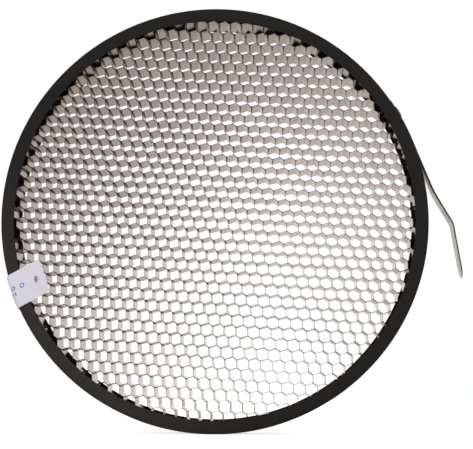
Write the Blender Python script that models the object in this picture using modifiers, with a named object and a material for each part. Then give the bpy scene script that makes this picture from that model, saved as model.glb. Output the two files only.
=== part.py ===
"""Honeycomb grid for a seven-inch lamp reflector.

A rolled sheet channel holds a core of corrugated aluminium foil ribbons, bonded crest to
crest so that they form hexagonal cells. A leaf spring is riveted to the rim, to hold the
grid inside the reflector, and a stiff tag is folded over the rim on the other side.

The grid stands on edge: +X is to its right, +Z is up, and -Y is the face that the light
leaves through. The origin is at the centre of the ring, halfway through its depth. Angles
round the rim run from +X towards +Z.
"""

import math

import bmesh
import bpy
from mathutils import Matrix, Vector

MM = 0.001
CLEARANCE = 0.3 * MM  # between pieces that touch or are bonded on the real object

# Rim: sheet aluminium, rolled to a channel that opens inward.
RIM_RADIUS = 85.0 * MM
RIM_DEPTH = 15.7 * MM
RIM_SHEET = 1.2 * MM
RIM_BEND = 1.5 * MM  # outer radius of the channel's two bends
LIP_RADIUS = 79.75 * MM  # free edge of the front and rear lips
RIM_STEPS = 90

# Core: foil ribbons that run down to the right across the disc.
CORE_RADIUS = 81.5 * MM
CORE_DEPTH = 12.7 * MM
CELL_LENGTH = 7.75 * MM  # along a ribbon, from one crest to the next
CELL_HEIGHT = 4.99 * MM  # across the ribbons, between two bonded walls
NODE_LENGTH = 2.12 * MM  # straight stretch where two ribbons are bonded
RIBBON_ANGLE = math.radians(-35.9)
CELL_CENTRE = Vector((-1.42 * MM, -2.52 * MM))  # x and z of the cell nearest the axis
COARSENESS = 2  # one modelled cell is this many real cells long and high
FOIL = 0.2 * MM
SHORTEST_RIBBON = 12.0 * MM

# Leaf spring: one strip, with a foot riveted on the rim and a blade that stands off it.
STRIP_WIDTH = 9.0 * MM
STRIP_THICKNESS = 0.45 * MM
FOOT_START = math.radians(32.5)  # round the rim, where the strip meets it
FOOT_END = math.radians(21.6)  # where the strip leaves it along a tangent
FOOT_END_LENGTH = 2.6 * MM  # the straight end beyond that
FOOT_CORNER = 1.6 * MM
FLEX_POINT = 9.0 * MM  # from the tangent point to the blade's bending axis
BLADE_STRAIGHT = 9.9 * MM
RAMP_TURN = math.radians(8.6)
RAMP_BEND_RADIUS = 44.0 * MM
BLADE_RAMP = 10.6 * MM
CREST_TURN = math.radians(-20.8)
CREST_BEND_RADIUS = 5.0 * MM
BLADE_TAIL = 20.7 * MM
BEND_STEP = math.radians(4.0)  # largest turn between two rows of a bend
CORNER_STEP = 10  # degrees between two rows of a rounded corner

# Blind rivet through the foot and the rim.
RIVET_ANGLE = math.radians(30.5)
RIVET_HEAD_RADIUS = 3.0 * MM
RIVET_HEAD_HEIGHT = 0.8 * MM
RIVET_HEAD_FLAT = 1.35 * MM  # radius of the flat round the bore
RIVET_HEAD_EDGE = 0.3 * MM  # height of the head's straight edge
RIVET_SHANK_RADIUS = 1.6 * MM
RIVET_TAIL_RADIUS = 2.3 * MM
RIVET_TAIL_LENGTH = 1.5 * MM
RIVET_TAIL_STRAIGHT = 0.9 * MM
RIVET_TAIL_END_RADIUS = 1.15 * MM
RIVET_STEPS = 24
RIVET_BORE_RADIUS = 0.9 * MM
RIVET_BORE_DEPTH = 0.6 * MM

# Tag: a printed strip that lies on the core and folds over the rim's front edge.
TAG_THICKNESS = 0.3 * MM
TAG_WIDTH = 13.5 * MM
TAG_FRONT_LENGTH = 14.6 * MM
TAG_SIDE_LENGTH = 11.0 * MM
TAG_END = Vector((-66.9 * MM, -23.5 * MM))  # middle of the end that lies on the core
TAG_ALONG = math.radians(-151.2)
TAG_ACROSS = math.radians(-70.3)
TAG_BULGE = 0.4 * MM
TAG_HOLE_RADIUS = 0.95 * MM
TAG_HOLE_STRETCH = 1.3  # the hole is oval: longer across the tag by this much
TAG_HOLE_INSET = 3.3 * MM
TAG_STEPS = 26  # along the tag
TAG_COLUMNS = 8  # across it

CUTTER_LENGTH = 4.0 * MM
CUTTER_STEPS = 24
SHARP_ANGLE = math.radians(35.0)

PARTS = "honeycomb_grid"
CUTTERS = "honeycomb_grid_cutters"


def clear_scene():
    for obj in list(bpy.data.objects):
        bpy.data.objects.remove(obj, do_unlink=True)
    for name in (PARTS, CUTTERS):
        collection = bpy.data.collections.new(name)
        bpy.context.scene.collection.children.link(collection)
    bpy.data.collections[CUTTERS].hide_render = True


def make_material(name, color, roughness, metallic):
    material = bpy.data.materials.new(name)
    material.use_nodes = True
    shader = material.node_tree.nodes["Principled BSDF"]
    shader.inputs["Base Color"].default_value = (*color, 1.0)
    shader.inputs["Roughness"].default_value = roughness
    shader.inputs["Metallic"].default_value = metallic
    return material


def make_object(name, mesh, material=None, collection=PARTS):
    obj = bpy.data.objects.new(name, mesh)
    bpy.data.collections[collection].objects.link(obj)
    if material is not None:
        mesh.materials.append(material)
    return obj


def on_rim(radius, angle):
    """The point at this radius and angle in the disc's plane, as (x, z)."""
    return Vector((radius * math.cos(angle), radius * math.sin(angle)))


def arc(centre_x, centre_z, radius, start, end, steps):
    """Points of an arc in a profile's plane, from start to end degrees."""
    points = []
    for i in range(steps + 1):
        angle = math.radians(start + (end - start) * i / steps)
        x = centre_x + radius * math.cos(angle)
        z = centre_z + radius * math.sin(angle)
        points.append((x, z))
    return points


def turned(name, profile, steps, material, closed):
    """A profile of (radius, height) turned round the object's own Z."""
    mesh = bpy.data.meshes.new(name)
    count = len(profile)
    edges = [(i, i + 1) for i in range(count - 1)]
    if closed:
        edges.append((count - 1, 0))
    mesh.from_pydata([(r, 0.0, z) for r, z in profile], edges, [])
    obj = make_object(name, mesh, material)
    screw = obj.modifiers.new("turn", "SCREW")
    screw.steps = steps
    screw.render_steps = steps
    screw.use_merge_vertices = True
    screw.merge_threshold = 0.01 * MM
    screw.use_smooth_shade = True
    return obj


def sheet(name, rows, thickness, material, origin=(0.0, 0.0, 0.0)):
    """A sheet through rows of points, thickened equally to both sides."""
    build = bmesh.new()
    grid = [[build.verts.new(Vector(point) - Vector(origin)) for point in row] for row in rows]
    for row, following in zip(grid, grid[1:]):
        for i in range(len(row) - 1):
            build.faces.new((row[i], row[i + 1], following[i + 1], following[i]))
    bmesh.ops.recalc_face_normals(build, faces=build.faces)
    mesh = bpy.data.meshes.new(name)
    build.to_mesh(mesh)
    build.free()
    obj = make_object(name, mesh, material)
    obj.location = origin
    solidify = obj.modifiers.new("thickness", "SOLIDIFY")
    solidify.thickness = thickness
    solidify.offset = 0.0
    solidify.use_even_offset = True
    return obj


def drill(obj, radius, centre, direction):
    """Cuts a round hole of this radius through obj. Gives the cutter."""
    name = obj.name + "_hole_cutter"
    build = bmesh.new()
    bmesh.ops.create_cone(
        build,
        cap_ends=True,
        segments=CUTTER_STEPS,
        radius1=radius,
        radius2=radius,
        depth=CUTTER_LENGTH,
    )
    mesh = bpy.data.meshes.new(name)
    build.to_mesh(mesh)
    build.free()
    cutter = make_object(name, mesh, collection=CUTTERS)
    cutter.location = centre
    cutter.rotation_mode = "QUATERNION"
    cutter.rotation_quaternion = Vector(direction).to_track_quat("Z", "Y")
    cutter.hide_render = True
    cutter.display_type = "WIRE"
    hole = obj.modifiers.new(name, "BOOLEAN")
    hole.operation = "DIFFERENCE"
    hole.solver = "EXACT"
    hole.object = cutter
    return cutter


def make_rim(paint):
    """The channel's section, turned round the optical axis."""
    half = RIM_DEPTH / 2
    centre_r = RIM_RADIUS - RIM_BEND
    centre_z = half - RIM_BEND
    inner_bend = RIM_BEND - RIM_SHEET
    profile = arc(centre_r, centre_z, RIM_BEND, 90, 0, 3)
    profile += arc(centre_r, -centre_z, RIM_BEND, 0, -90, 3)
    profile += [(LIP_RADIUS, -half), (LIP_RADIUS, RIM_SHEET - half)]
    profile += arc(centre_r, -centre_z, inner_bend, -90, 0, 1)
    profile += arc(centre_r, centre_z, inner_bend, 0, 90, 1)
    profile += [(LIP_RADIUS, half - RIM_SHEET), (LIP_RADIUS, half)]
    rim = turned("rim_channel", profile, RIM_STEPS, paint, closed=True)
    rim.rotation_euler = (math.radians(90.0), 0.0, 0.0)
    return rim


def ribbon_wave(index):
    """The corners of one ribbon, right across the disc, along and across the ribbons."""
    period = CELL_LENGTH * COARSENESS
    spacing = CELL_HEIGHT * COARSENESS / 2
    half_node = NODE_LENGTH * COARSENESS / 2
    height = (spacing - FOIL - CLEARANCE) / 2
    along = Vector((math.cos(RIBBON_ANGLE), math.sin(RIBBON_ANGLE)))
    across = Vector((-along.y, along.x))
    middle = CELL_CENTRE.dot(across) + (index + 0.5) * spacing
    first_crest = CELL_CENTRE.dot(along)
    if index % 2:
        first_crest += period / 2
    reach = math.ceil(CORE_RADIUS / period) + 1
    wave = []
    for n in range(-2 * reach, 2 * reach + 1):
        centre = first_crest + n * period / 2
        level = middle + (height if n % 2 == 0 else -height)
        wave.append(Vector((centre - half_node, level)))
        wave.append(Vector((centre + half_node, level)))
    return wave


def leave_circle(inside, outside):
    """Where the line from a point inside the core's circle to one outside it crosses it."""
    step = outside - inside
    a = step.dot(step)
    b = inside.dot(step)
    c = inside.dot(inside) - CORE_RADIUS**2
    return inside + step * ((math.sqrt(b * b - a * c) - b) / a)


def trim_to_core(wave):
    """The stretch of a ribbon inside the core's circle, from its innermost corner outward."""
    start = min(range(len(wave)), key=lambda i: wave[i].length)
    if wave[start].length >= CORE_RADIUS:
        return []
    kept = [wave[start]]
    for direction in (1, -1):
        i = start + direction
        while wave[i].length < CORE_RADIUS:
            kept.insert(len(kept) if direction > 0 else 0, wave[i])
            i += direction
        edge = leave_circle(wave[i - direction], wave[i])
        kept.insert(len(kept) if direction > 0 else 0, edge)
    return kept


def make_core(foil):
    """All foil ribbons, numbered from the lower left of the disc to the upper right."""
    along = Vector((math.cos(RIBBON_ANGLE), math.sin(RIBBON_ANGLE)))
    across = Vector((-along.y, along.x))
    rows = math.ceil(2 * CORE_RADIUS / (CELL_HEIGHT * COARSENESS)) + 1
    number = 0
    for index in range(-rows, rows + 1):
        path = trim_to_core(ribbon_wave(index))
        if not path or (path[-1] - path[0]).length < SHORTEST_RIBBON:
            continue
        number += 1
        rows_of_points = []
        for point in path:
            place = along * point.x + across * point.y
            row = [(place.x, y, place.y) for y in (-CORE_DEPTH / 2, CORE_DEPTH / 2)]
            rows_of_points.append(row)
        sheet(f"foil_ribbon_{number:02d}", rows_of_points, FOIL, foil)


def walk(start, heading, legs):
    """Follows straight and curved legs of (length, turn). Gives each corner's place and heading."""
    place = start.copy()
    stations = [(0.0, place.copy(), heading)]
    travelled = 0.0
    for length, turn in legs:
        steps = max(1, math.ceil(abs(turn) / BEND_STEP))
        for _ in range(steps):
            middle = heading + turn / steps / 2
            place = place + on_rim(length / steps, middle)
            heading += turn / steps
            travelled += length / steps
            stations.append((travelled, place.copy(), heading))
    return stations


def strip_rows(stations, round_start=0.0, round_end=0.0):
    """Rows across a spring strip, whose corners are rounded by these radii at its ends."""
    total = stations[-1][0]
    wanted = set()
    for travelled, _, _ in stations:
        if round_start < travelled < total - round_end:
            wanted.add(travelled)
    for radius, at_end in ((round_start, False), (round_end, True)):
        if radius == 0.0:
            wanted.add(total if at_end else 0.0)
            continue
        for degrees in range(0, 90, CORNER_STEP):
            inset = radius * (1.0 - math.sin(math.radians(degrees)))
            wanted.add(total - inset if at_end else inset)
    rows = []
    for travelled in sorted(wanted):
        place = place_at(stations, travelled)
        half = STRIP_WIDTH / 2
        for radius, inset in ((round_start, travelled), (round_end, total - travelled)):
            if inset < radius:
                half += math.sqrt(radius**2 - (radius - inset) ** 2) - radius
        rows.append([(place.x, -half, place.y), (place.x, half, place.y)])
    return rows


def place_at(stations, travelled):
    """The point this far along a walked line."""
    for (near, start, _), (far, end, _) in zip(stations, stations[1:]):
        if travelled <= far:
            return start.lerp(end, max(0.0, (travelled - near) / (far - near)))
    return stations[-1][1]


def make_spring(steel):
    """The strip's foot, fixed to the rim, and its blade, which turns about the flex point."""
    seat = RIM_RADIUS + CLEARANCE + STRIP_THICKNESS / 2
    heading = FOOT_START - math.radians(90.0)
    seated = FOOT_START - FOOT_END
    foot_legs = [
        (FOOT_END_LENGTH, 0.0),
        (seat * seated, -seated),
        (FLEX_POINT - CLEARANCE / 2, 0.0),
    ]
    foot_tip = on_rim(seat, FOOT_START) - on_rim(FOOT_END_LENGTH, heading)
    foot_line = walk(foot_tip, heading, foot_legs)
    foot = sheet("spring_foot", strip_rows(foot_line, FOOT_CORNER), STRIP_THICKNESS, steel)
    heading = foot_line[-1][2]
    flex = foot_line[-1][1] + on_rim(CLEARANCE / 2, heading)
    blade_legs = [
        (BLADE_STRAIGHT, 0.0),
        (RAMP_BEND_RADIUS * abs(RAMP_TURN), RAMP_TURN),
        (BLADE_RAMP, 0.0),
        (CREST_BEND_RADIUS * abs(CREST_TURN), CREST_TURN),
        (BLADE_TAIL, 0.0),
    ]
    blade_line = walk(flex + on_rim(CLEARANCE / 2, heading), heading, blade_legs)
    rows = strip_rows(blade_line, round_end=STRIP_WIDTH / 2)
    sheet("spring_blade", rows, STRIP_THICKNESS, steel, origin=(flex.x, 0.0, flex.y))
    return foot


def make_rivet(steel):
    """A blind rivet's set body: domed head with its bore, shank, and tail inside the channel."""
    under_head = STRIP_THICKNESS + 2 * CLEARANCE
    top = under_head + RIVET_HEAD_HEIGHT
    under_wall = -RIM_SHEET - CLEARANCE
    tail_end = under_wall - RIVET_TAIL_LENGTH
    profile = [(0.0, top - RIVET_BORE_DEPTH), (RIVET_BORE_RADIUS, top - RIVET_BORE_DEPTH)]
    profile += [(RIVET_BORE_RADIUS, top), (RIVET_HEAD_FLAT, top)]
    for degrees in (30, 60):
        share = math.sin(math.radians(degrees))
        fall = 1.0 - math.cos(math.radians(degrees))
        radius = RIVET_HEAD_FLAT + (RIVET_HEAD_RADIUS - RIVET_HEAD_FLAT) * share
        profile.append((radius, top - (RIVET_HEAD_HEIGHT - RIVET_HEAD_EDGE) * fall))
    profile += [(RIVET_HEAD_RADIUS, under_head + RIVET_HEAD_EDGE)]
    profile += [(RIVET_HEAD_RADIUS, under_head)]
    profile += [(RIVET_SHANK_RADIUS, under_head), (RIVET_SHANK_RADIUS, under_wall)]
    profile += [(RIVET_TAIL_RADIUS, under_wall)]
    profile += [(RIVET_TAIL_RADIUS, under_wall - RIVET_TAIL_STRAIGHT)]
    profile += [(RIVET_TAIL_END_RADIUS, tail_end), (0.0, tail_end)]
    rivet = turned("spring_rivet", profile, RIVET_STEPS, steel, closed=False)
    seat = on_rim(RIM_RADIUS, RIVET_ANGLE)
    rivet.location = (seat.x, 0.0, seat.y)
    rivet.rotation_mode = "QUATERNION"
    rivet.rotation_quaternion = Vector((seat.x, 0.0, seat.y)).to_track_quat("Z", "Y")
    return rivet


def fold_over_rim(place):
    """Lays a point of the flat tag on the front of the grid, or rolls it round the rim's edge."""
    lift = CLEARANCE + TAG_THICKNESS / 2
    bend = RIM_BEND + lift
    flat_edge = RIM_RADIUS - RIM_BEND
    front = -RIM_DEPTH / 2 - lift
    beyond = place.length - flat_edge
    if beyond <= 0.0:
        return (place.x, front, place.y)
    turned_by = min(beyond / bend, math.radians(90.0))
    down = max(0.0, beyond - bend * math.radians(90.0))
    radius = flat_edge + bend * math.sin(turned_by)
    depth = front + bend * (1.0 - math.cos(turned_by)) + down
    around = place.normalized() * radius
    return (around.x, depth, around.y)


def make_tag(film):
    """A flat strip with a bulged end and a punched hole, folded over the rim."""
    along = on_rim(1.0, TAG_ALONG)
    across = on_rim(1.0, TAG_ACROSS)
    length = TAG_FRONT_LENGTH + TAG_SIDE_LENGTH
    rows = []
    for step in range(TAG_STEPS + 1):
        row = []
        for column in range(TAG_COLUMNS + 1):
            share = 2.0 * column / TAG_COLUMNS - 1.0
            start = -TAG_BULGE * (1.0 - share**2)
            distance = start + (length - start) * step / TAG_STEPS
            place = TAG_END + along * distance + across * (share * TAG_WIDTH / 2)
            row.append(fold_over_rim(place))
        rows.append(row)
    tag = sheet("folded_tag", rows, TAG_THICKNESS, film)
    hole = TAG_END + along * TAG_HOLE_INSET
    through = Vector((0.0, 1.0, 0.0))
    lengthwise = Vector((along.x, 0.0, along.y))
    crosswise = through.cross(lengthwise)
    cutter = drill(tag, TAG_HOLE_RADIUS, (hole.x, -RIM_DEPTH / 2, hole.y), through)
    turn = Matrix((lengthwise, crosswise, through)).transposed()
    cutter.rotation_quaternion = turn.to_quaternion()
    cutter.scale = (1.0, TAG_HOLE_STRETCH, 1.0)
    return tag


def main():
    clear_scene()
    paint = make_material("rim_paint", (0.018, 0.017, 0.018), 0.45, 0.1)
    foil = make_material("core_foil", (0.62, 0.58, 0.54), 0.38, 0.85)
    spring_steel = make_material("spring_steel", (0.50, 0.47, 0.43), 0.32, 1.0)
    rivet_steel = make_material("rivet_paint", (0.09, 0.08, 0.09), 0.45, 0.4)
    film = make_material("tag_film", (0.80, 0.79, 0.85), 0.55, 0.0)
    rim = make_rim(paint)
    make_core(foil)
    foot = make_spring(spring_steel)
    make_rivet(rivet_steel)
    make_tag(film)
    outward = on_rim(1.0, RIVET_ANGLE)
    for piece, radius in ((rim, RIM_RADIUS - RIM_SHEET / 2), (foot, RIM_RADIUS + CLEARANCE)):
        centre = outward * radius
        bore = RIVET_SHANK_RADIUS + CLEARANCE
        drill(piece, bore, (centre.x, 0.0, centre.y), (outward.x, 0.0, outward.y))
    for piece in bpy.data.collections[PARTS].objects:
        if piece.name.startswith("spring"):
            piece.data.shade_smooth()
            piece.data.set_sharp_from_angle(angle=SHARP_ANGLE)


main()
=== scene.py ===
"""Looks of the honeycomb grid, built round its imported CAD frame.

The grid stands on edge: +X is to its right, +Z is up, and -Y is the face that the light
leaves through. Angles round the rim run from +X towards +Z. Places in the disc's plane are
two-dimensional vectors of x and z.
"""

import math
import random

import bpy
from mathutils import Matrix, Vector, noise


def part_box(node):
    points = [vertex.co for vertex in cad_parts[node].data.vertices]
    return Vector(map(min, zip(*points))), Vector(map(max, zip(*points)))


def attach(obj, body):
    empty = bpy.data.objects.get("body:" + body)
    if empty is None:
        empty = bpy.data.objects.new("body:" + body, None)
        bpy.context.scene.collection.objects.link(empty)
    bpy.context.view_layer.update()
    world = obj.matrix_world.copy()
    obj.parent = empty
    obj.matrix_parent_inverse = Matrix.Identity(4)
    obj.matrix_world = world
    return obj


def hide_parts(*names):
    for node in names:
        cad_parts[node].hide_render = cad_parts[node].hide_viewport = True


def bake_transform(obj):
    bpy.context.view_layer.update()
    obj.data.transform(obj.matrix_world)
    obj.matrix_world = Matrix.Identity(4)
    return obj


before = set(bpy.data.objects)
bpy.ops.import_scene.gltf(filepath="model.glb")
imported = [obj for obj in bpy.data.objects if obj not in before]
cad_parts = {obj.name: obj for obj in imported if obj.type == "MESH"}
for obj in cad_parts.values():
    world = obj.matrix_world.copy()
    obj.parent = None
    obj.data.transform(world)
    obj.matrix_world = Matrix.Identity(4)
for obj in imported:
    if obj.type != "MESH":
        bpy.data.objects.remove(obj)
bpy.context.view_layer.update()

MM = 0.001

SHARP_ANGLE = math.radians(38.0)  # faces that meet at more than this keep a sharp edge
SHARPEST_MITRE = 0.5  # least cosine that a strip's corner is widened by
ON_AXIS = 1e-7  # a profile point nearer to its axis than this becomes one vertex

# Rim: a rolled channel. Its radius and depth are the CAD node's.
RIM_LOW, RIM_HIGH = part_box("rim_channel")
RIM_RADIUS = RIM_HIGH.x
RIM_FRONT = RIM_LOW.y
RIM_BACK = RIM_HIGH.y
RIM_SHEET = 1.2 * MM
RIM_BEND = 1.5 * MM
LIP_RADIUS = 79.75 * MM
LIP_EDGE = 0.3 * MM  # rounding of the lips' free edges
RIM_STEPS = 300
LIP_WAVE = 0.1 * MM
LIP_WAVE_TURNS = 2.2  # size of the circle through the noise that the wave is read along
LIP_WAVE_APART = 3.0  # keeps the two lips' waves different
HIGHLIGHT_SIDE = (-0.743, 0.0, -0.669)  # direction from the axis to where the rim's painted highlight is brightest
FLAT_DEPTH = 0.85 * MM  # the rim is pressed slightly flat where the spring's foot is riveted
FLAT_ANGLE = math.radians(28.0)
FLAT_SPREAD = math.radians(42.0)

# Core: corrugated foil ribbons, bonded crest to crest.
CORE_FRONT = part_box("foil_ribbon_16")[0].y
CORE_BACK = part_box("foil_ribbon_16")[1].y
CORE_RADIUS = 82.5 * MM
CELL_LENGTH = 7.7465 * MM
CELL_HEIGHT = 4.9895 * MM
CELL_LEAN = -0.0057  # how far the rows of cells slide along the ribbons, per length across
NODE_LENGTH = 2.12 * MM
RIBBON_ANGLE = math.radians(-35.93)
CELL_CENTRE = Vector((-1.423 * MM, -2.522 * MM))
BOW_REACH = 80.0 * MM  # the stretched core is bowed sideways by these amounts at this radius
BOW_SIDEWAYS = 1.13 * MM
BOW_SLANTED = -1.05 * MM
BOW_UPWARD = 0.17 * MM
BOND_SHADE_FROM = 0.42  # share of a free wall's rise at which the painted shade of a bond corner starts
BOND_SHADE_FADE = 1.0
FOIL = 0.11 * MM
BOND = 0.03 * MM
FOLD_HEIGHT = (CELL_HEIGHT / 2 - FOIL - BOND) / 2  # from a ribbon's middle to its crests
FOIL_BEND = 0.40 * MM  # how far from a corner the foil starts to curve
FOIL_BEND_STEPS = 3
FREE_WALL_STATIONS = (0.33, 0.67)
FOIL_DEPTH_STATIONS = (0.0, 0.06, 0.5, 0.94, 1.0)
SHEEN_FACING = (0.60, 0.38)  # the foil's painted sheen turns it from dull to bright between these facing values
SHORTEST_RIBBON = 6.0 * MM
RIBBON_END_GAP = 0.35 * MM  # least distance from a ribbon's end to the rim's wall
RIBBON_END_SPREAD = 0.6 * MM
RIBBON_END_SEED = 7
SLOW_SCALE = 16.0 * MM  # the lattice drifts over this distance
SLOW_SHIFT = 0.12 * MM
QUICK_SCALE = 4.0 * MM
QUICK_SHIFT = 0.13 * MM
DRIFT_SEED = 7  # never 0, which would take the time of day as the seed
DRIFT_WITH_DEPTH = 0.25  # how much of the way through the core counts as way across it

# Leaf spring: one strip, whose driving dimensions are the CAD's.
STRIP_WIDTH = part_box("spring_blade")[1].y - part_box("spring_blade")[0].y
STRIP_THICKNESS = 0.45 * MM
STRIP_EDGE = 0.04 * MM
STRIP_EDGE_SHARE = 0.9  # of the thickness is left at the eased edges
NARROWEST_END = 0.3 * MM  # half width that the rounded ends stop at
WALK_STEP = 0.5 * MM
SEAT_GAP = 0.2 * MM
FOOT_START = math.radians(32.5)
FOOT_END = math.radians(21.6)
FOOT_END_LENGTH = 2.6 * MM
FOOT_CORNER = 1.6 * MM
FLEX_POINT = 9.0 * MM
BLADE_STRAIGHT = 9.9 * MM
RAMP_TURN = math.radians(8.6)
RAMP_BEND_RADIUS = 44.0 * MM
BLADE_RAMP = 10.6 * MM
CREST_TURN = math.radians(-20.8)
CREST_BEND_RADIUS = 5.0 * MM
BLADE_TAIL = 20.7 * MM

# Blind rivet.
RIVET_ANGLE = math.radians(30.5)
RIVET_HEAD_RADIUS = 3.0 * MM
RIVET_HEAD_HEIGHT = 0.8 * MM
RIVET_RIM_HEIGHT = 0.3 * MM
RIVET_FLAT_RADIUS = 1.3 * MM
RIVET_BORE_RADIUS = 0.9 * MM
RIVET_BORE_DEPTH = 0.6 * MM
RIVET_SHANK_RADIUS = 1.6 * MM
RIVET_TAIL_RADIUS = 2.3 * MM
RIVET_TAIL_LENGTH = 1.5 * MM
RIVET_STUB_RADIUS = 0.75 * RIVET_BORE_RADIUS  # the broken mandrel in the bore
RIVET_STUB_CROWN = 0.22 * MM
RIVET_STUB_SHOULDER = 0.16 * MM
RIVET_STUB_FOOT = 0.02 * MM
RIVET_BORE_CHAMFER = 0.12 * MM
RIVET_HEAD_EDGE = 0.1 * MM
RIVET_STEPS = 48

# Tag: a printed strip that lies on the core and folds over the rim's front edge.
TAG_THICKNESS = 0.3 * MM
TAG_WIDTH = 13.5 * MM
TAG_FRONT_LENGTH = 14.6 * MM
TAG_SIDE_LENGTH = 11.0 * MM
TAG_END = Vector((-66.9 * MM, -23.5 * MM))
TAG_ALONG = math.radians(-151.2)
TAG_ACROSS = math.radians(-70.3)
TAG_BULGE = 0.4 * MM
TAG_HOLE_RADIUS = 0.95 * MM
TAG_HOLE_STRETCH = 1.3  # the hole is oval: longer across the tag by this much
TAG_HOLE_INSET = 3.3 * MM
TAG_HOLE_MARGIN = 0.35 * MM  # the sheet's even mesh stops this far from the hole
TAG_HOLE_SEARCH = 1.2 * MM  # and the border that it leaves is found within this distance
TAG_STEPS_ALONG = 84
TAG_STEPS_ACROSS = 28
TAG_LIFT = 0.3 * MM
TAG_WAVE = 0.2 * MM
TAG_WAVE_SCALE = 6.0 * MM
# Print on the tag, in millimetres from the middle of its end on the core.
PRINT_HEXAGONS = (((9.6, -0.6), 0.72), ((13.3, -1.1), 0.62))  # centre and radius
PRINT_LINE = 0.42
PRINT_BARS = (((13.0, 1.4), (0.45, 1.5)), ((13.9, 1.4), (0.45, 1.1)))  # centre and size
TAG_SHADOW_PLACE = (-70.4 * MM, CORE_FRONT + 1.0 * MM, -24.85 * MM)  # centre of the tag's painted shadow on the foil behind the hole
TAG_SHADOW_FADE = (3.5 * MM, 2.5 * MM)

# Camera: where it stands, what it aims at, and its lens.
CAMERA_PLACE = Vector((27.29 * MM, -452.72 * MM, -61.72 * MM))
CAMERA_AIM = Vector((8.62 * MM, 0.0, -2.34 * MM))
CAMERA_ROLL = math.radians(0.3)
CAMERA_LENS = 86.73
CAMERA_SENSOR = 36.0
CAMERA_CLIP = (0.01, 200.0)

# Studio: the light from each angle round the line from the camera's side to the backdrop.
FLOOR_REACH = 60.0
BACKDROP_DISTANCE = 0.6
FLOOR_GLOW = (0.10, 0.70)  # to other surfaces, and to the camera
STUDIO_STRENGTH = 1.5
STUDIO_STOPS = (
    (0.0, (0.22, 0.22, 0.22)),
    (14.0, (0.25, 0.25, 0.25)),
    (22.0, (0.98, 0.97, 0.96)),
    (52.0, (0.98, 0.97, 0.96)),
    (68.0, (0.24, 0.24, 0.23)),
    (120.0, (0.24, 0.24, 0.23)),
    (145.0, (0.46, 0.47, 0.44)),
    (165.0, (0.61, 0.61, 0.585)),
    (172.0, (0.84, 0.835, 0.815)),
    (180.0, (1.0, 0.99, 0.975)),
)


def in_plane(radius, angle):
    """The place at this radius and angle in the disc's plane."""
    return Vector((radius * math.cos(angle), radius * math.sin(angle)))


def rim_radius_at(angle):
    """The outer wall's radius, which is smallest in the middle of the flat spot."""
    turn = math.remainder(angle - FLAT_ANGLE, 2.0 * math.pi)
    return RIM_RADIUS - FLAT_DEPTH * math.exp(-((turn / FLAT_SPREAD) ** 2))


def arc(centre, radius, start, end, steps):
    """Places along an arc, from start to end degrees."""
    places = []
    for i in range(steps + 1):
        places.append(centre + in_plane(radius, math.radians(start + (end - start) * i / steps)))
    return places


def mesh_object(name, points, faces, material):
    """A smooth-shaded piece with sharp edges where its faces meet at a steep angle."""
    mesh = bpy.data.meshes.new(name)
    mesh.from_pydata(points, [], faces)
    mesh.validate()
    mesh.shade_smooth()
    mesh.set_sharp_from_angle(angle=SHARP_ANGLE)
    mesh.materials.append(material)
    obj = bpy.data.objects.new(name, mesh)
    bpy.context.scene.collection.objects.link(obj)
    return obj


# Materials


def material_tree(name):
    """A new material's tree and its Principled node."""
    material = bpy.data.materials.new(name)
    material.use_nodes = True
    tree = material.node_tree
    return material, tree, tree.nodes["Principled BSDF"]


def add(tree, kind, inputs=None, **settings):
    """A shader node. An input is a value, or the socket that feeds it."""
    made = tree.nodes.new("ShaderNode" + kind)
    for name, value in settings.items():
        setattr(made, name, value)
    for name, value in (inputs or {}).items():
        if isinstance(value, bpy.types.NodeSocket):
            tree.links.new(value, made.inputs[name])
        else:
            made.inputs[name].default_value = value
    return made


def feed(tree, shader, **inputs):
    """Links sockets to a shader's inputs, or sets them to values."""
    for name, value in inputs.items():
        socket = shader.inputs[name.replace("_", " ").title()]
        if isinstance(value, bpy.types.NodeSocket):
            tree.links.new(value, socket)
        else:
            socket.default_value = value


def place_in(tree, stretch=(1.0, 1.0, 1.0)):
    """The surface's own place in metres, stretched along each axis."""
    coordinates = add(tree, "TexCoord").outputs["Object"]
    return add(tree, "VectorMath", {0: coordinates, 1: stretch}, operation="MULTIPLY").outputs[0]


def noise_at(tree, place, size, detail=3.0, roughness=0.55):
    """Noise whose features are about this size in metres."""
    inputs = {"Vector": place, "Scale": 1.0 / size, "Detail": detail, "Roughness": roughness}
    return add(tree, "TexNoise", inputs).outputs["Fac"]


def ramp(tree, value, low, high, to_low=0.0, to_high=1.0):
    """A value mapped from low..high to to_low..to_high, and held at the ends."""
    inputs = {
        "Value": value,
        "From Min": low,
        "From Max": high,
        "To Min": to_low,
        "To Max": to_high,
    }
    return add(tree, "MapRange", inputs).outputs["Result"]


def maths(tree, operation, first, second=0.0):
    return add(tree, "Math", {0: first, 1: second}, operation=operation).outputs[0]


def vector_value(tree, operation, first, second=(0.0, 0.0, 0.0)):
    """A number worked out from one or two vectors, such as a length."""
    inputs = {0: first, 1: second}
    return add(tree, "VectorMath", inputs, operation=operation).outputs["Value"]


def blend_colours(tree, share, first, second):
    """first where share is 0, second where it is 1."""
    mix = add(tree, "Mix", {0: share}, data_type="RGBA")
    for socket, value in ((mix.inputs[6], first), (mix.inputs[7], second)):
        if isinstance(value, bpy.types.NodeSocket):
            tree.links.new(value, socket)
        else:
            socket.default_value = (*value, 1.0)
    return mix.outputs[2]


def bump(tree, height, distance, strength=1.0):
    inputs = {"Height": height, "Distance": distance, "Strength": strength}
    return add(tree, "Bump", inputs).outputs["Normal"]


def facing_front(tree):
    """1 on edges that face straight to the front or the back of the grid, 0 elsewhere."""
    normal = add(tree, "NewGeometry").outputs["True Normal"]
    depth = add(tree, "SeparateXYZ", {0: normal}).outputs["Y"]
    return ramp(tree, maths(tree, "ABSOLUTE", depth), 0.7, 0.9)


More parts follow.
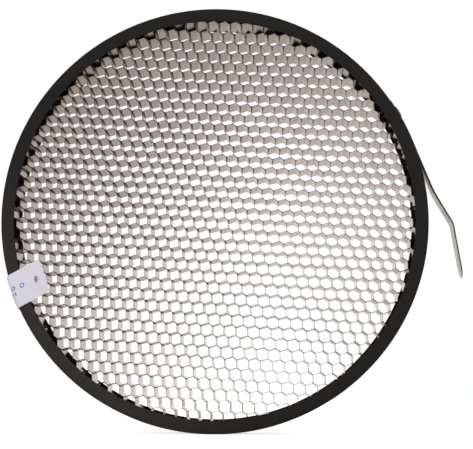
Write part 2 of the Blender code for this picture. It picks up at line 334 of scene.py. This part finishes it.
def rim_paint():
    """Black powder coat: fine grain, faint cloudiness, specks, and a painted highlight towards the
    lower left.

    The inside of the channel is painted paler, standing in for light that reaches it through the
    core.
    """
    material, tree, shader = material_tree("rim_paint_black")
    place = place_in(tree)
    cloud = noise_at(tree, place, 14.0 * MM, 2.0)
    grain = noise_at(tree, place, 0.55 * MM, 2.0)
    colour = blend_colours(tree, cloud, (0.0138, 0.0125, 0.0114), (0.0182, 0.0164, 0.0149))
    # Painted highlight: the paint is painted lighter towards the lower left, in patches.
    toward = vector_value(tree, "DOT_PRODUCT", place, HIGHLIGHT_SIDE)
    film = ramp(tree, toward, 0.50 * RIM_RADIUS, 0.92 * RIM_RADIUS)
    patches = ramp(tree, noise_at(tree, place, 2.5 * MM), 0.25, 0.75, 0.6, 1.0)
    film = maths(tree, "MULTIPLY", film, patches)
    colour = blend_colours(tree, film, colour, (0.037, 0.033, 0.030))
    # Painted light: the channel's inside is painted paler, standing in for light that reaches it
    # through the core.
    radius = vector_value(tree, "LENGTH", place_in(tree, (1.0, 0.0, 1.0)))
    depth = maths(tree, "ABSOLUTE", add(tree, "SeparateXYZ", {0: place}).outputs["Y"])
    inside = maths(tree, "LESS_THAN", radius, RIM_RADIUS - FLAT_DEPTH - RIM_SHEET / 4)
    between_lips = maths(tree, "LESS_THAN", depth, RIM_BACK - RIM_SHEET / 2)
    inside = maths(tree, "MULTIPLY", inside, between_lips)
    colour = blend_colours(tree, inside, colour, (0.095, 0.080, 0.066))
    specks = ramp(tree, noise_at(tree, place, 0.8 * MM, 4.0, 0.7), 0.70, 0.80, 0.0, 0.35)
    colour = blend_colours(tree, specks, colour, (0.060, 0.055, 0.050))
    roughness = ramp(tree, noise_at(tree, place, 5.0 * MM), 0.3, 0.7, 0.52, 0.62)
    shader.inputs["Specular IOR Level"].default_value = 0.10
    feed(tree, shader, base_color=colour, roughness=roughness)
    feed(tree, shader, normal=bump(tree, grain, 0.03 * MM, 0.5))
    return material


def core_foil():
    """Bare aluminium foil: rolling lines along each ribbon, soft dents, dark sawn edges.

    It has painted shade in each bond corner, which fades at steep views, and a painted shadow of
    the tag behind the tag's hole. Its colour is painted brighter at steep views, a painted sheen
    where dull metal would look nearly black.
    """
    material, tree, shader = material_tree("core_foil_bare")
    place = place_in(tree)
    lines = noise_at(tree, place_in(tree, (1.0, 14.0, 1.0)), 1.6 * MM, 4.0, 0.65)
    dents = noise_at(tree, place, 2.2 * MM, 1.0)
    tint = noise_at(tree, place, 6.0 * MM, 2.0)
    # Painted sheen: the foil's colour is painted brighter at steep views, where dull metal would
    # look nearly black.
    sheen = ramp(tree, add(tree, "LayerWeight").outputs["Facing"], *SHEEN_FACING)
    colour = blend_colours(tree, tint, (0.272, 0.226, 0.194), (0.346, 0.293, 0.261))
    sheen_colour = blend_colours(tree, tint, (0.74, 0.70, 0.66), (0.82, 0.79, 0.76))
    colour = blend_colours(tree, sheen, colour, sheen_colour)
    colour = blend_colours(tree, facing_front(tree), colour, (0.035, 0.028, 0.025))
    # Painted shade in each bond corner, where two ribbons part; it fades where the painted sheen
    # is strongest.
    corner = add(tree, "Attribute", attribute_name="bond_shade").outputs["Fac"]
    uneven = maths(tree, "ADD", corner, maths(tree, "MULTIPLY", dents, 0.3))
    corner_shade = ramp(tree, uneven, 0.15, 0.6, 0.0, 0.85)
    shown = maths(tree, "SUBTRACT", 1.0, maths(tree, "MULTIPLY", sheen, 0.8))
    corner_shade = maths(tree, "MULTIPLY", corner_shade, shown)
    colour = blend_colours(tree, corner_shade, colour, (0.030, 0.018, 0.012))
    # Painted shadow of the tag: the foil behind the tag's hole is painted darker and grey-green,
    # and not metallic.
    away = vector_value(tree, "DISTANCE", place, TAG_SHADOW_PLACE)
    tag_shadow = ramp(tree, away, *TAG_SHADOW_FADE, 0.0, 0.9)
    metallic = maths(tree, "SUBTRACT", 1.0, maths(tree, "MAXIMUM", corner_shade, tag_shadow))
    colour = blend_colours(tree, tag_shadow, colour, (0.15, 0.165, 0.14))
    roughness = ramp(tree, lines, 0.3, 0.7, 0.16, 0.28)
    relief = maths(tree, "ADD", dents, maths(tree, "MULTIPLY", lines, 0.12))
    creases = noise_at(tree, place, 0.8 * MM, 2.0)
    relief = maths(tree, "ADD", relief, maths(tree, "MULTIPLY", creases, 0.22))
    shader.inputs["Specular IOR Level"].default_value = 0.1
    shader.inputs["Specular Tint"].default_value = (1.0, 0.975, 0.955, 1.0)
    feed(tree, shader, base_color=colour, metallic=metallic, roughness=roughness)
    feed(tree, shader, normal=bump(tree, relief, 0.075 * MM, 0.7))
    return material


def spring_steel():
    """Ground spring steel: fine lines along the strip, faint stains, dark sheared edges."""
    material, tree, shader = material_tree("spring_steel_ground")
    lines = noise_at(tree, place_in(tree, (0.05, 1.0, 0.05)), 0.12 * MM, 3.0, 0.6)
    stains = noise_at(tree, place_in(tree), 5.0 * MM, 4.0, 0.6)
    colour = blend_colours(tree, stains, (0.43, 0.385, 0.365), (0.55, 0.505, 0.485))
    colour = blend_colours(tree, facing_front(tree), colour, (0.06, 0.052, 0.055))
    roughness = ramp(tree, stains, 0.3, 0.7, 0.26, 0.40)
    feed(tree, shader, base_color=colour, metallic=1.0, roughness=roughness, anisotropic=0.4)
    feed(tree, shader, normal=bump(tree, lines, 0.004 * MM, 0.4))
    return material


def rivet_finish():
    """Dark coated steel, rubbed on the head's crown."""
    material, tree, shader = material_tree("rivet_coated")
    place = place_in(tree)
    worn = ramp(tree, noise_at(tree, place, 0.7 * MM, 4.0, 0.65), 0.55, 0.72, 0.0, 0.5)
    colour = blend_colours(tree, worn, (0.055, 0.047, 0.055), (0.26, 0.24, 0.25))
    roughness = ramp(tree, worn, 0.0, 0.5, 0.45, 0.32)
    feed(tree, shader, base_color=colour, metallic=0.6, roughness=roughness)
    feed(tree, shader, normal=bump(tree, noise_at(tree, place, 0.3 * MM), 0.01 * MM, 0.4))
    return material


def box_mark(tree, u, v, centre, size):
    """1 inside an upright rectangle of the print, with both places in millimetres."""
    sideways = maths(tree, "ABSOLUTE", maths(tree, "SUBTRACT", u, centre[0]))
    upward = maths(tree, "ABSOLUTE", maths(tree, "SUBTRACT", v, centre[1]))
    inside_u = maths(tree, "LESS_THAN", sideways, size[0] / 2)
    inside_v = maths(tree, "LESS_THAN", upward, size[1] / 2)
    return maths(tree, "MULTIPLY", inside_u, inside_v)


def hexagon_mark(tree, u, v, centre, radius, line):
    """1 on the outline of a hexagon of the print."""
    across = maths(tree, "ABSOLUTE", maths(tree, "SUBTRACT", u, centre[0]))
    upward = maths(tree, "ABSOLUTE", maths(tree, "SUBTRACT", v, centre[1]))
    slant = maths(tree, "MULTIPLY", across, math.cos(math.radians(30.0)))
    slant = maths(tree, "ADD", slant, maths(tree, "MULTIPLY", upward, 0.5))
    reach = maths(tree, "MAXIMUM", slant, upward)
    off = maths(tree, "ABSOLUTE", maths(tree, "SUBTRACT", reach, radius))
    return maths(tree, "LESS_THAN", off, line / 2)


def tag_film():
    """White film: a faint lavender cast, fine paper-like grain, handling marks, blue print."""
    material, tree, shader = material_tree("tag_film_printed")
    printed = add(tree, "UVMap", uv_map="print").outputs["UV"]
    along, across, _ = add(tree, "SeparateXYZ", {0: printed}).outputs
    place = place_in(tree)
    cloud = noise_at(tree, place, 5.0 * MM, 3.0)
    base = blend_colours(tree, cloud, (0.74, 0.72, 0.86), (0.80, 0.79, 0.84))
    marks = 0.0
    for centre, radius in PRINT_HEXAGONS:
        mark = hexagon_mark(tree, along, across, centre, radius, PRINT_LINE)
        marks = maths(tree, "MAXIMUM", marks, mark)
    for centre, size in PRINT_BARS:
        mark = box_mark(tree, along, across, centre, size)
        marks = maths(tree, "MAXIMUM", marks, mark)
    wear = ramp(tree, noise_at(tree, place, 0.35 * MM, 3.0), 0.30, 0.45, 0.65, 1.0)
    base = blend_colours(tree, maths(tree, "MULTIPLY", marks, wear), base, (0.05, 0.20, 0.62))
    smudge = ramp(tree, noise_at(tree, place, 2.4 * MM, 4.0, 0.7), 0.60, 0.78, 0.0, 0.12)
    base = blend_colours(tree, smudge, base, (0.50, 0.46, 0.46))
    grain = noise_at(tree, place, 0.25 * MM, 3.0)
    feed(tree, shader, base_color=base, roughness=ramp(tree, cloud, 0.3, 0.7, 0.42, 0.58))
    feed(tree, shader, normal=bump(tree, grain, 0.01 * MM, 0.5))
    return material


# Shared mesh code


def revolve(name, profile, steps, material, place_point):
    """A closed or axis-to-axis profile of (radius, height) turned through a full circle.

    place_point turns (radius, angle, height) into a point in the frame. A profile point on
    the axis becomes a single vertex.
    """
    points = []
    rings = []
    for radius, height in profile:
        count = 1 if radius < ON_AXIS else steps
        rings.append([len(points) + i % count for i in range(steps)])
        for i in range(count):
            points.append(place_point(radius, 2.0 * math.pi * i / steps, height))
    on_axis = profile[0][0] < ON_AXIS
    pairs = list(zip(rings, rings[1:]))
    if not on_axis:
        pairs.append((rings[-1], rings[0]))
    faces = []
    for near, far in pairs:
        for i in range(steps):
            corners = [near[i], near[(i + 1) % steps], far[(i + 1) % steps], far[i]]
            kept = [c for n, c in enumerate(corners) if c not in corners[:n]]
            if len(kept) > 2:
                faces.append(kept)
    return mesh_object(name, points, faces, material)


def band(name, stations, rows, material, moved=None):
    """A closed strip that follows stations of (place, normal) in the disc's plane.

    rows(i) gives station i's (y, half thickness) across the strip.
    """
    points = []
    count = 0
    for i, (place, normal) in enumerate(stations):
        row = rows(i)
        count = len(row)
        for side in (1.0, -1.0):
            for y, half in row:
                spot = place + normal * (side * half)
                if moved is not None:
                    spot = spot + moved(place, y)
                points.append((spot.x, y, spot.y))
    faces = []
    ring = list(range(count)) + [count + j for j in reversed(range(count))]
    for i in range(len(stations) - 1):
        near = i * 2 * count
        far = near + 2 * count
        for j, corner in enumerate(ring):
            following = ring[(j + 1) % len(ring)]
            faces.append((near + corner, near + following, far + following, far + corner))
    last = (len(stations) - 1) * 2 * count
    for j in range(count - 1):
        faces.append((j, count + j, count + j + 1, j + 1))
        faces.append((last + j, last + j + 1, last + count + j + 1, last + count + j))
    return mesh_object(name, points, faces, material)


def with_normals(places):
    """Stations from places: each with the unit normal of the line there, scaled at corners."""
    stations = []
    for i, place in enumerate(places):
        before = place - places[i - 1] if i > 0 else places[1] - place
        after = places[i + 1] - place if i < len(places) - 1 else before
        before.normalize()
        after.normalize()
        middle = (before + after).normalized()
        stretch = 1.0 / max(SHARPEST_MITRE, middle.dot(before))
        stations.append((place, Vector((-middle.y, middle.x)) * stretch))
    return stations


# Rim


def make_rim(paint):
    """The channel: two lips with rounded free edges, two bends and the outer wall."""
    half = (RIM_BACK - RIM_FRONT) / 2
    bend_r = RIM_RADIUS - RIM_BEND
    bend_y = half - RIM_BEND
    inner = RIM_BEND - RIM_SHEET
    lip_r = LIP_RADIUS + LIP_EDGE
    profile = []
    profile += arc(Vector((bend_r, -bend_y)), RIM_BEND, -90.0, 0.0, 8)
    profile += arc(Vector((bend_r, bend_y)), RIM_BEND, 0.0, 90.0, 8)
    profile += arc(Vector((lip_r, half - LIP_EDGE)), LIP_EDGE, 90.0, 180.0, 3)
    profile += arc(Vector((lip_r, half - RIM_SHEET + LIP_EDGE)), LIP_EDGE, 180.0, 270.0, 3)
    profile += arc(Vector((bend_r, bend_y)), inner, 90.0, 0.0, 3)
    profile += arc(Vector((bend_r, -bend_y)), inner, 0.0, -90.0, 3)
    profile += arc(Vector((lip_r, RIM_SHEET - LIP_EDGE - half)), LIP_EDGE, 90.0, 180.0, 3)
    profile += arc(Vector((lip_r, LIP_EDGE - half)), LIP_EDGE, 180.0, 270.0, 3)
    middle = (RIM_FRONT + RIM_BACK) / 2

    def place_point(radius, angle, height):
        free = max(0.0, (bend_r - radius) / (bend_r - LIP_RADIUS))
        side = math.copysign(1.0, height)
        around = in_plane(1.0, angle)
        turned = around * LIP_WAVE_TURNS
        wave = noise.noise(Vector((turned.x, turned.y, LIP_WAVE_APART * side)))
        spread = radius + free * LIP_WAVE * wave + rim_radius_at(angle) - RIM_RADIUS
        return (spread * around.x, middle + height, spread * around.y)

    rim = revolve("rim", [tuple(p) for p in profile], RIM_STEPS, paint, place_point)
    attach(rim, "grid")
    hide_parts("rim_channel")


# Core


def cell_drift(place, y):
    """How far a cell wall stands from the even lattice here, in the disc's plane."""
    deep = DRIFT_WITH_DEPTH * y
    x, z = place / BOW_REACH
    bow = BOW_SIDEWAYS * x * x + BOW_SLANTED * x * z + BOW_UPWARD * z * z
    slow = noise.noise_vector(Vector((place.x, place.y, deep)) / SLOW_SCALE) * SLOW_SHIFT
    quick = noise.noise_vector(Vector((place.x, place.y, deep)) / QUICK_SCALE) * QUICK_SHIFT
    return Vector((bow + slow.x + quick.x, slow.y + quick.y))


def ribbon_corners(index):
    """The corners of one ribbon right across the disc, along and across the ribbons."""
    along = in_plane(1.0, RIBBON_ANGLE)
    across = Vector((-along.y, along.x))
    middle = CELL_CENTRE.dot(across) + (index + 0.5) * CELL_HEIGHT / 2
    first_crest = CELL_CENTRE.dot(along) + (CELL_LENGTH / 2 if index % 2 else 0.0)
    reach = math.ceil(CORE_RADIUS / CELL_LENGTH) + 1
    corners = []
    for n in range(-2 * reach, 2 * reach + 1):
        centre = first_crest + n * CELL_LENGTH / 2
        level = middle + (FOLD_HEIGHT if n % 2 == 0 else -FOLD_HEIGHT)
        centre += CELL_LEAN * (level - CELL_CENTRE.dot(across))
        corners.append(Vector((centre - NODE_LENGTH / 2, level)))
        corners.append(Vector((centre + NODE_LENGTH / 2, level)))
    return corners


def rounded(corners):
    """The same line with each corner eased into a short curve."""
    places = [corners[0]]
    for before, corner, after in zip(corners, corners[1:], corners[2:]):
        start = corner + (before - corner).normalized() * FOIL_BEND
        end = corner + (after - corner).normalized() * FOIL_BEND
        for i in range(FOIL_BEND_STEPS + 1):
            t = i / FOIL_BEND_STEPS
            places.append(start * (1 - t) ** 2 + corner * (2 * t * (1 - t)) + end * t**2)
        if abs(after.y - corner.y) > 0.0:
            places += [corner.lerp(after, share) for share in FREE_WALL_STATIONS]
    places.append(corners[-1])
    return places


def leave_circle(inside, outside, radius):
    """Where the line from inside to outside crosses the circle of this radius."""
    step = outside - inside
    a = step.dot(step)
    b = inside.dot(step)
    c = inside.dot(inside) - radius**2
    return inside + step * ((math.sqrt(b * b - a * c) - b) / a)


def cut_to_core(line, radii):
    """The stretch of a line inside the core, from its innermost place out to a radius each way."""
    start = min(range(len(line)), key=lambda i: line[i].length)
    if line[start].length >= min(radii):
        return []
    kept = [line[start]]
    for direction, radius in zip((1, -1), radii):
        i = start + direction
        while line[i].length < radius:
            kept.insert(len(kept) if direction > 0 else 0, line[i])
            i += direction
        edge = leave_circle(line[i - direction], line[i], radius)
        kept.insert(len(kept) if direction > 0 else 0, edge)
    return kept


def end_radius(offset, side, along, across):
    """How far from the axis a ribbon may reach on one side, before the lattice drifts."""
    place = across * offset + along * (side * math.sqrt(max(0.0, CORE_RADIUS**2 - offset**2)))
    outward = place.normalized()
    wall = rim_radius_at(math.atan2(outward.y, outward.x)) - RIM_SHEET
    return wall - RIBBON_END_GAP - cell_drift(place, 0.0).dot(outward)


def nearest_cad_ribbon(offset, across):
    """The CAD ribbon whose middle is nearest to this offset across the ribbons."""
    best = None
    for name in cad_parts:
        if name.startswith("foil_ribbon"):
            low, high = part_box(name)
            middle = Vector(((low.x + high.x) / 2, (low.z + high.z) / 2)).dot(across)
            if best is None or abs(middle - offset) < best[0]:
                best = (abs(middle - offset), name)
    return best[1]


def mark_bond_shade(piece, rises, depths):
    """Stores how deep each vertex lies in the painted shade of a corner where two ribbons part at
    a bond.

    Such a corner is on a foil's upper side near its crests and on its lower side near its
    troughs. It is widest at the front and closes towards the back.
    """
    values = []
    for rise in rises:
        for side in (1.0, -1.0):
            for depth in depths:
                into = (side * rise - BOND_SHADE_FROM) / (1.0 - BOND_SHADE_FROM)
                values.append(into - BOND_SHADE_FADE * depth)
    layer = piece.data.attributes.new("bond_shade", "FLOAT", "POINT")
    layer.data.foreach_set("value", values)


def make_core(foil):
    """Every foil ribbon of the core, numbered from the lower left to the upper right."""
    along = in_plane(1.0, RIBBON_ANGLE)
    across = Vector((-along.y, along.x))
    noise.seed_set(DRIFT_SEED)
    spread = random.Random(RIBBON_END_SEED)
    depth = CORE_BACK - CORE_FRONT
    rows = [(CORE_FRONT + depth * share, FOIL / 2) for share in FOIL_DEPTH_STATIONS]
    farthest = math.ceil(2 * CORE_RADIUS / CELL_HEIGHT) + 1
    number = 0
    for index in range(-farthest, farthest + 1):
        middle = CELL_CENTRE.dot(across) + (index + 0.5) * CELL_HEIGHT / 2
        radii = []
        for side in (1.0, -1.0):
            longest = end_radius(middle, side, along, across)
            radii.append(longest - spread.random() * RIBBON_END_SPREAD)
        line = cut_to_core(rounded(ribbon_corners(index)), radii)
        if not line or (line[-1] - line[0]).length < SHORTEST_RIBBON:
            continue
        number += 1
        stations = with_normals([along * p.x + across * p.y for p in line])
        piece = band(f"foil_{number:02d}", stations, lambda i: rows, foil, cell_drift)
        rises = [(p.y - middle) / FOLD_HEIGHT for p in line]
        mark_bond_shade(piece, rises, FOIL_DEPTH_STATIONS)
        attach(piece, "grid")
        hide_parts(nearest_cad_ribbon(middle, across))


# Leaf spring


def walk(start, heading, legs, step):
    """Places along straight and curved legs, each a (length, turn)."""
    place = start.copy()
    places = [place.copy()]
    for length, turn in legs:
        count = max(1, math.ceil(length / step))
        for i in range(count):
            place = place + in_plane(length / count, heading + turn * (i + 0.5) / count)
            places.append(place.copy())
        heading += turn
    return places


def make_spring(steel):
    """The whole strip, foot and blade, as one piece; the flex point is a length along its straight
    run.
    """
    seat = rim_radius_at(FLAT_ANGLE) + SEAT_GAP + STRIP_THICKNESS / 2
    heading = FOOT_START - math.radians(90.0)
    legs = [
        (FOOT_END_LENGTH, 0.0),
        (seat * (FOOT_START - FOOT_END), FOOT_END - FOOT_START),
        (FLEX_POINT + BLADE_STRAIGHT, 0.0),
        (RAMP_BEND_RADIUS * abs(RAMP_TURN), RAMP_TURN),
        (BLADE_RAMP, 0.0),
        (CREST_BEND_RADIUS * abs(CREST_TURN), CREST_TURN),
        (BLADE_TAIL, 0.0),
    ]
    foot_tip = in_plane(seat, FOOT_START) - in_plane(FOOT_END_LENGTH, heading)
    places = walk(foot_tip, heading, legs, WALK_STEP)
    travelled = [0.0]
    for near, far in zip(places, places[1:]):
        travelled.append(travelled[-1] + (far - near).length)
    total = travelled[-1]

    def half_width(distance):
        half = STRIP_WIDTH / 2
        for radius, inset in ((FOOT_CORNER, distance), (half, total - distance)):
            if inset < radius:
                half += math.sqrt(radius**2 - (radius - inset) ** 2) - radius
        return max(half, NARROWEST_END)

    def rows(i):
        half = half_width(travelled[i])
        thick = STRIP_THICKNESS / 2
        near_edge = half - STRIP_EDGE
        return [
            (-half, STRIP_EDGE_SHARE * thick),
            (-near_edge, thick),
            (-near_edge / 2, thick),
            (0.0, thick),
            (near_edge / 2, thick),
            (near_edge, thick),
            (half, STRIP_EDGE_SHARE * thick),
        ]

    spring = band("leaf_spring", with_normals(places), rows, steel)
    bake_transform(spring)
    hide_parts("spring_foot", "spring_blade")


def make_rivet(finish):
    """The rivet's set body: domed head with its bore and broken mandrel, shank and tail."""
    under_head = STRIP_THICKNESS + 2 * SEAT_GAP
    top = under_head + RIVET_HEAD_HEIGHT
    under_wall = -RIM_SHEET - SEAT_GAP
    floor = top - RIVET_BORE_DEPTH
    profile = [(0.0, floor + RIVET_STUB_CROWN)]
    profile += [(RIVET_STUB_RADIUS / 2, floor + RIVET_STUB_SHOULDER)]
    profile += [(RIVET_STUB_RADIUS, floor + RIVET_STUB_FOOT)]
    profile += [(RIVET_BORE_RADIUS, floor), (RIVET_BORE_RADIUS, top - RIVET_BORE_CHAMFER)]
    profile += [(RIVET_BORE_RADIUS + RIVET_BORE_CHAMFER, top), (RIVET_FLAT_RADIUS, top)]
    for degrees in range(15, 90, 15):
        share = math.sin(math.radians(degrees))
        fall = 1.0 - math.cos(math.radians(degrees))
        radius = RIVET_FLAT_RADIUS + (RIVET_HEAD_RADIUS - RIVET_FLAT_RADIUS) * share
        profile.append((radius, top - (RIVET_HEAD_HEIGHT - RIVET_RIM_HEIGHT) * fall))
    profile += [(RIVET_HEAD_RADIUS, under_head + RIVET_RIM_HEIGHT)]
    profile += [(RIVET_HEAD_RADIUS, under_head + RIVET_HEAD_EDGE)]
    profile += [(RIVET_HEAD_RADIUS - RIVET_HEAD_EDGE, under_head)]
    profile += [(RIVET_SHANK_RADIUS, under_head)]
    profile += [(RIVET_SHANK_RADIUS, under_wall)]
    for degrees in range(0, 181, 20):
        share = math.sin(math.radians(degrees))
        radius = RIVET_SHANK_RADIUS + (RIVET_TAIL_RADIUS - RIVET_SHANK_RADIUS) * share
        radius = radius if degrees < 180 else 0.5 * RIVET_TAIL_RADIUS
        profile.append((radius, under_wall - RIVET_TAIL_LENGTH * degrees / 180.0))
    profile += [(0.0, under_wall - RIVET_TAIL_LENGTH)]
    outward = in_plane(1.0, RIVET_ANGLE)
    sideways = Vector((-outward.y, outward.x))

    def place_point(radius, angle, height):
        out = outward * (rim_radius_at(RIVET_ANGLE) + height)
        out += sideways * (radius * math.cos(angle))
        return (out.x, radius * math.sin(angle), out.y)

    rivet = revolve("rivet", profile, RIVET_STEPS, finish, place_point)
    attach(rivet, "grid")
    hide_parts("spring_rivet")


# Tag


def fold_over_rim(place, lift):
    """Lays a place of the flat tag on the front of the grid, or rolls it round the rim's edge."""
    bend = RIM_BEND + lift
    flat_edge = RIM_RADIUS - RIM_BEND
    front = RIM_FRONT - lift
    beyond = place.length - flat_edge
    if beyond <= 0.0:
        return Vector((place.x, front, place.y))
    turned_by = min(beyond / bend, math.radians(90.0))
    down = max(0.0, beyond - bend * math.radians(90.0))
    around = place.normalized() * (flat_edge + bend * math.sin(turned_by))
    return Vector((around.x, front + bend * (1.0 - math.cos(turned_by)) + down, around.y))


def make_tag(film):
    """The strip as one closed sheet with a punched hole, laid over the grid's edge."""
    along = in_plane(1.0, TAG_ALONG)
    across = in_plane(1.0, TAG_ACROSS)
    length = TAG_FRONT_LENGTH + TAG_SIDE_LENGTH
    lengthwise = TAG_STEPS_ALONG
    crosswise = TAG_STEPS_ACROSS
    lift = TAG_LIFT + TAG_THICKNESS / 2
    hole = Vector((TAG_HOLE_INSET, 0.0))

    def from_hole(spot):
        """A place relative to the hole, squeezed so that the oval becomes a circle."""
        offset = spot - hole
        return Vector((offset.x, offset.y / TAG_HOLE_STRETCH))

    def flat(i, j):
        share = 2.0 * j / crosswise - 1.0
        start = -TAG_BULGE * (1.0 - share**2)
        return Vector((start + (length - start) * i / lengthwise, share * TAG_WIDTH / 2))

    spots = [[flat(i, j) for j in range(crosswise + 1)] for i in range(lengthwise + 1)]
    reach = TAG_HOLE_RADIUS + TAG_HOLE_MARGIN
    inside = {
        (i, j)
        for i in range(lengthwise + 1)
        for j in range(crosswise + 1)
        if from_hole(spots[i][j]).length < reach
    }
    index = {}
    flats = []
    for i in range(lengthwise + 1):
        for j in range(crosswise + 1):
            if (i, j) not in inside:
                index[i, j] = len(flats)
                flats.append(spots[i][j])
    faces = []
    for i in range(lengthwise):
        for j in range(crosswise):
            corners = [(i, j), (i + 1, j), (i + 1, j + 1), (i, j + 1)]
            if not any(c in inside for c in corners):
                faces.append([index[c] for c in corners])
    edges = {}
    for face in faces:
        for a, b in zip(face, face[1:] + face[:1]):
            edges[a, b] = True
    border = {}
    for a, b in edges:
        farther = max(from_hole(flats[a]).length, from_hole(flats[b]).length)
        if (b, a) not in edges and farther < reach + TAG_HOLE_SEARCH:
            border[b] = a
    start = next(iter(border))
    loop = [start]
    while border[loop[-1]] != start:
        loop.append(border[loop[-1]])
    ring = []
    for spot in loop:
        offset = from_hole(flats[spot]).normalized() * TAG_HOLE_RADIUS
        ring.append(len(flats))
        flats.append(hole + Vector((offset.x, offset.y * TAG_HOLE_STRETCH)))
    for n, spot in enumerate(loop):
        following = (n + 1) % len(loop)
        faces.append([loop[following], spot, ring[n], ring[following]])

    def curled(spot, side):
        place = TAG_END + along * spot.x + across * spot.y
        wave = TAG_WAVE * noise.noise(Vector((place.x, place.y, 0.0)) / TAG_WAVE_SCALE)
        return fold_over_rim(place, lift + wave + side * TAG_THICKNESS / 2)

    count = len(flats)
    points = [curled(spot, 1.0) for spot in flats] + [curled(spot, -1.0) for spot in flats]
    sides = {}
    for face in faces:
        for a, b in zip(face, face[1:] + face[:1]):
            sides[a, b] = True
    closed = [list(face) for face in faces]
    closed += [[count + c for c in reversed(face)] for face in faces]
    for a, b in sides:
        if (b, a) not in sides:
            closed.append([b, a, count + a, count + b])
    tag = mesh_object("tag", points, closed, film)
    layer = tag.data.uv_layers.new(name="print")
    for corner in tag.data.loops:
        spot = flats[corner.vertex_index % count]
        layer.data[corner.index].uv = (spot.x / MM, spot.y / MM)
    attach(tag, "grid")
    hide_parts("folded_tag")


# Surroundings


def make_floor():
    """A pale floor under the rim, softly lit, and white to the camera. It ends at the backdrop."""
    material, tree, shader = material_tree("floor_white")
    seen = add(tree, "LightPath").outputs["Is Camera Ray"]
    shader.inputs["Base Color"].default_value = (0.9, 0.875, 0.86, 1.0)
    shader.inputs["Roughness"].default_value = 0.9
    shader.inputs["Emission Color"].default_value = (1.0, 1.0, 1.0, 1.0)
    tree.links.new(ramp(tree, seen, 0.0, 1.0, *FLOOR_GLOW), shader.inputs["Emission Strength"])
    mesh = bpy.data.meshes.new("floor")
    level = RIM_LOW.z
    near, far = -FLOOR_REACH, BACKDROP_DISTANCE
    left, right = -FLOOR_REACH, FLOOR_REACH
    corners = [(left, near, level), (right, near, level), (right, far, level), (left, far, level)]
    mesh.from_pydata(corners, [], [(0, 1, 2, 3)])
    mesh.materials.append(material)
    floor = bpy.data.objects.new("floor", mesh)
    bpy.context.scene.collection.objects.link(floor)


def make_world():
    """A white studio to the camera.

    Everything else is lit by a ring of soft light round the camera, dim sides, and the bright
    backdrop. Each stop is an angle from the camera's side, and the light that comes from there.
    """
    world = bpy.data.worlds.new("studio")
    bpy.context.scene.world = world
    world.use_nodes = True
    tree = world.node_tree
    background = tree.nodes["Background"]
    background.inputs["Strength"].default_value = STUDIO_STRENGTH
    direction = add(tree, "TexCoord").outputs["Generated"]
    forward = add(tree, "VectorMath", {0: direction, 1: (0.0, -1.0, 0.0)}, operation="DOT_PRODUCT")
    turned = maths(tree, "ARCCOSINE", forward.outputs["Value"])
    light = add(tree, "ValToRGB", {"Fac": maths(tree, "DIVIDE", turned, math.pi)})
    stops = light.color_ramp.elements
    stops.remove(stops[-1])
    stops[0].color = (*STUDIO_STOPS[0][1], 1.0)
    for degrees, colour in STUDIO_STOPS[1:]:
        stops.new(degrees / 180.0).color = (*colour, 1.0)
    seen = add(tree, "LightPath").outputs["Is Camera Ray"]
    white = (1.0 / STUDIO_STRENGTH,) * 3
    colour = blend_colours(tree, seen, light.outputs["Color"], white)
    tree.links.new(colour, background.inputs["Color"])


def make_camera():
    data = bpy.data.cameras.new("camera")
    data.lens = CAMERA_LENS
    data.sensor_width = CAMERA_SENSOR
    data.clip_start, data.clip_end = CAMERA_CLIP
    camera = bpy.data.objects.new("camera", data)
    bpy.context.scene.collection.objects.link(camera)
    aim = CAMERA_AIM - CAMERA_PLACE
    turn = aim.to_track_quat("-Z", "Y").to_matrix().to_4x4()
    roll = Matrix.Rotation(CAMERA_ROLL, 4, "Z")
    camera.matrix_world = Matrix.Translation(CAMERA_PLACE) @ turn @ roll
    bpy.context.scene.camera = camera


make_rim(rim_paint())
make_core(core_foil())
make_spring(spring_steel())
make_rivet(rivet_finish())
make_tag(tag_film())
make_floor()
make_world()
make_camera()
bpy.context.scene.view_settings.view_transform = "Standard"
